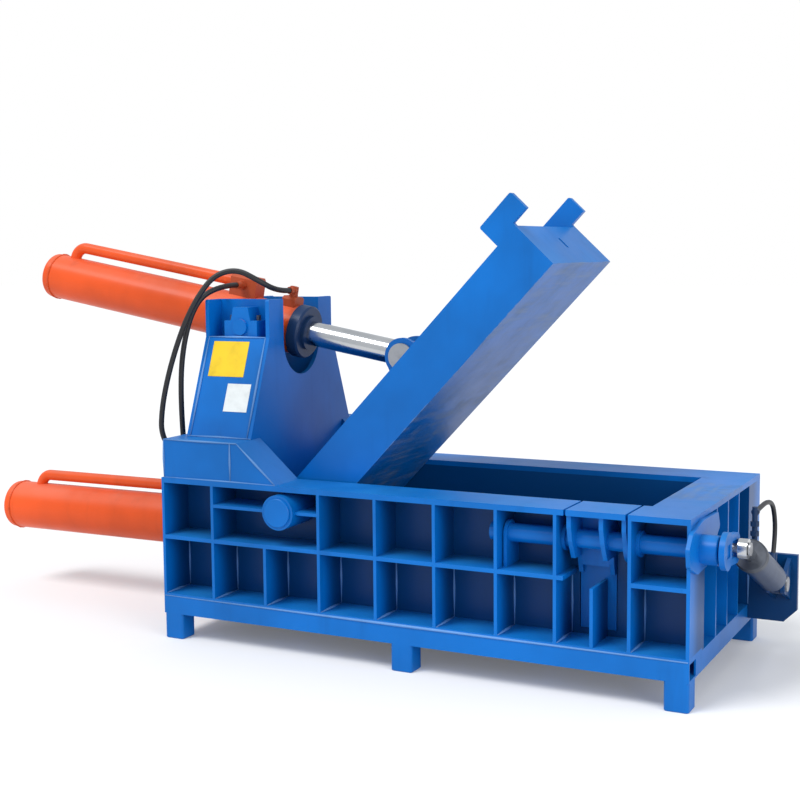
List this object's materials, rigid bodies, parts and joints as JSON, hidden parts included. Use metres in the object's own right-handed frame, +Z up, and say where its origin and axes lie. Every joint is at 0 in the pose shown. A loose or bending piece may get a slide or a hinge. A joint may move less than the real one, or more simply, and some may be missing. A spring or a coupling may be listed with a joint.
{
  "type": "hydraulic scrap metal baler",
  "caption": "Blue hydraulic scrap baler: ribbed press box, lid swung open on its yoke, two orange press cylinders and a turn-out tray on a side axle.",
  "frame": {"origin": "On the floor under the middle of the whole machine, taken from its bounding box.", "axes": "+X runs along the press box from the main cylinder to the turn-out end, +Y from front to back, +Z up."},
  "size_m": [4.08, 1.3061, 2.0076],
  "materials": {
    "blue_paint": "gloss",
    "orange_paint": "gloss",
    "rod_chrome": "polished",
    "bare_steel": "satin",
    "bolt_steel": "satin",
    "cylinder_paint": "satin",
    "hose_rubber": "satin"
  },
  "bodies": {
    "frame": {"feet": "blue_paint", "side_rails": "blue_paint", "cross_rails": "blue_paint", "sole_plates": "blue_paint", "floor_plate": "blue_paint", "front_wall_plate": "blue_paint", "back_wall_plate": "blue_paint", "front_top_flanges": "blue_paint", "back_top_flange": "blue_paint", "front_ribs": "blue_paint", "back_ribs": "blue_paint", "front_mid_rail": "blue_paint", "back_mid_rail": "blue_paint", "hinge_shelves": "blue_paint", "hinge_bosses": "blue_paint", "lid_hinge_pin": "blue_paint", "end_wall_plate": "blue_paint", "end_ribs": "blue_paint", "end_top_flange": "blue_paint", "rear_wall_plate": "blue_paint", "ram_deck": "blue_paint", "cheek_blocks": "blue_paint", "yoke_front_plate": "blue_paint", "yoke_rear_plate": "blue_paint", "tower_skins": "blue_paint", "tower_inner_plates": "blue_paint", "trunnion_saddles": "blue_paint", "trunnion_caps": "blue_paint", "hexagon_bolts": "bolt_steel", "main_barrel": "orange_paint", "main_oil_pipe": "orange_paint", "axle_bearings": "blue_paint", "outer_bearing": "blue_paint", "turnout_bracket": "blue_paint", "turnout_pivot_pin": "bare_steel", "oil_manifold": "bolt_steel", "front_oil_hose": "hose_rubber", "rear_oil_hose": "hose_rubber"},
    "lid": {"lid_box": "blue_paint", "lid_ears": "blue_paint", "lid_lugs": "blue_paint"},
    "lid_cylinder": {"lid_barrel": "orange_paint", "lid_gland": "cylinder_paint", "lid_oil_pipe": "orange_paint", "lid_port_blocks": "orange_paint"},
    "lid_piston_rod": {"lid_rod": "rod_chrome", "lid_rod_eye": "orange_paint", "lid_rod_pin": "bare_steel"},
    "ram": {"ram_head": "blue_paint", "main_rod": "rod_chrome"},
    "turnout": {"turnout_tray": "blue_paint", "tray_arms": "blue_paint", "tray_panel": "blue_paint", "turnout_axle": "blue_paint", "turnout_crank": "blue_paint"},
    "turnout_cylinder": {"turnout_barrel": "cylinder_paint", "turnout_gland": "bolt_steel", "turnout_hose": "hose_rubber"},
    "turnout_piston_rod": {"turnout_rod": "rod_chrome", "turnout_rod_pin": "bare_steel"}
  },
  "joints": [
    {"name": "lid_hinge", "type": "hinge", "parent": "frame", "child": "lid", "pos_m": [0.013, 0, 0.64], "axis": [0, 1, 0], "range_deg": [0, 46.4]},
    {"name": "lid_cylinder_swing", "type": "hinge", "parent": "frame", "child": "lid_cylinder", "pos_m": [-0.382, 0, 1.432], "axis": [0, 1, 0], "range_deg": [0, 18.07]},
    {"name": "lid_rod_slide", "type": "slide", "parent": "lid_cylinder", "child": "lid_piston_rod", "axis": [0.984, 0, -0.1782], "range_m": [0, 0.506]},
    {"name": "ram_slide", "type": "slide", "parent": "frame", "child": "ram", "axis": [1, 0, 0], "range_m": [0, 1.305]},
    {"name": "turnout_hinge", "type": "hinge", "parent": "frame", "child": "turnout", "pos_m": [1.453, -0.492, 0.622], "axis": [-1, 0, 0], "range_deg": [-115, 0]},
    {"name": "turnout_cylinder_swing", "type": "hinge", "parent": "frame", "child": "turnout_cylinder", "pos_m": [1.974, 0.28, 0.334], "axis": [1, 0, 0], "range_deg": [-4.5, 0]},
    {"name": "turnout_rod_slide", "type": "slide", "parent": "turnout_cylinder", "child": "turnout_piston_rod", "axis": [0, 0.9185, -0.3955], "range_m": [-0.2183, 0]}
  ],
  "couplings": [
    {"joint": "lid_cylinder_swing", "follows": "lid_hinge", "ratio": 0.38287},
    {"joint": "lid_rod_slide", "follows": "lid_hinge", "m_per_rad": 0.62115},
    {"joint": "turnout_cylinder_swing", "follows": "turnout_hinge", "ratio": 0.03735},
    {"joint": "turnout_rod_slide", "follows": "turnout_hinge", "m_per_rad": 0.10777}
  ]
}
